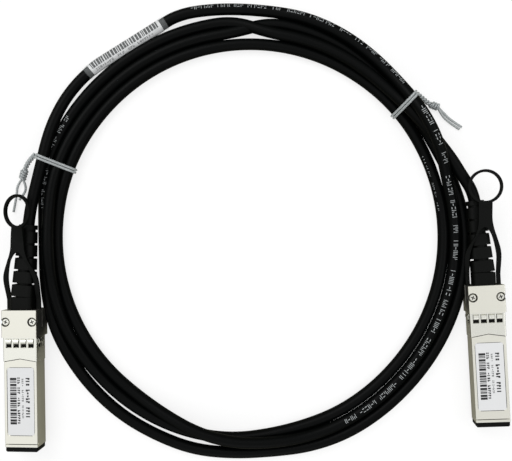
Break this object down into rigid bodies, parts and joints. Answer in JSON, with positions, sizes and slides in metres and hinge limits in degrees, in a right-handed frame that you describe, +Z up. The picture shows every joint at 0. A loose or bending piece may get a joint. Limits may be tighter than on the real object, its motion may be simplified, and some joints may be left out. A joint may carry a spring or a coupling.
{
  "type": "direct attach copper cable",
  "caption": "Direct attach copper cable: die-cast plugs with pull tabs and ribbed strain reliefs on a black cable that is tied in a flat coil and carries a marker sleeve.",
  "frame": {"origin": "on the surface that the cable lies on, midway between the two plugs", "axes": "+Z up off the surface, +X from the left plug to the right one, +Y from the plugs' host ends towards the coil's top"},
  "size_m": [0.2031, 0.1859, 0.0159],
  "materials": {
    "nickel_plated_zinc": "satin",
    "plated_steel": "satin",
    "black_moulding": "matte",
    "cable_jacket": "satin",
    "circuit_board": "gloss",
    "printed_paper": "matte",
    "clear_plastic": "gloss"
  },
  "bodies": {
    "cable": {"left_base_shell": "nickel_plated_zinc", "left_cover": "nickel_plated_zinc", "left_label": "printed_paper", "left_cover_screws": "plated_steel", "left_emi_collar": "plated_steel", "left_mouth_frame": "black_moulding", "left_paddle_card": "circuit_board", "left_return_spring": "plated_steel", "left_crimp_ferrule": "plated_steel", "left_strain_relief": "black_moulding", "right_base_shell": "nickel_plated_zinc", "right_cover": "nickel_plated_zinc", "right_label": "printed_paper", "right_cover_screws": "plated_steel", "right_emi_collar": "plated_steel", "right_mouth_frame": "black_moulding", "right_paddle_card": "circuit_board", "right_return_spring": "plated_steel", "right_crimp_ferrule": "plated_steel", "right_strain_relief": "black_moulding", "left_lead": "cable_jacket", "right_lead": "cable_jacket", "cable_coil": "cable_jacket", "left_tie": "clear_plastic", "right_tie": "clear_plastic", "marker_label": "printed_paper", "marker_sleeve": "clear_plastic"},
    "left_release": {"left_pull_tab": "black_moulding", "left_latch_slide": "plated_steel"},
    "right_release": {"right_pull_tab": "black_moulding", "right_latch_slide": "plated_steel"}
  },
  "joints": [
    {"name": "left_pull", "type": "slide", "parent": "cable", "child": "left_release", "axis": [-0.014, 0.9999, 0], "range_m": [0, 0.0022], "stiffness_N_per_m": 500, "springref_m": -0.002, "deforming": ["left_return_spring"]},
    {"name": "right_pull", "type": "slide", "parent": "cable", "child": "right_release", "axis": [-0.0558, 0.9984, 0], "range_m": [0, 0.0022], "stiffness_N_per_m": 500, "springref_m": -0.002, "deforming": ["right_return_spring"]}
  ]
}
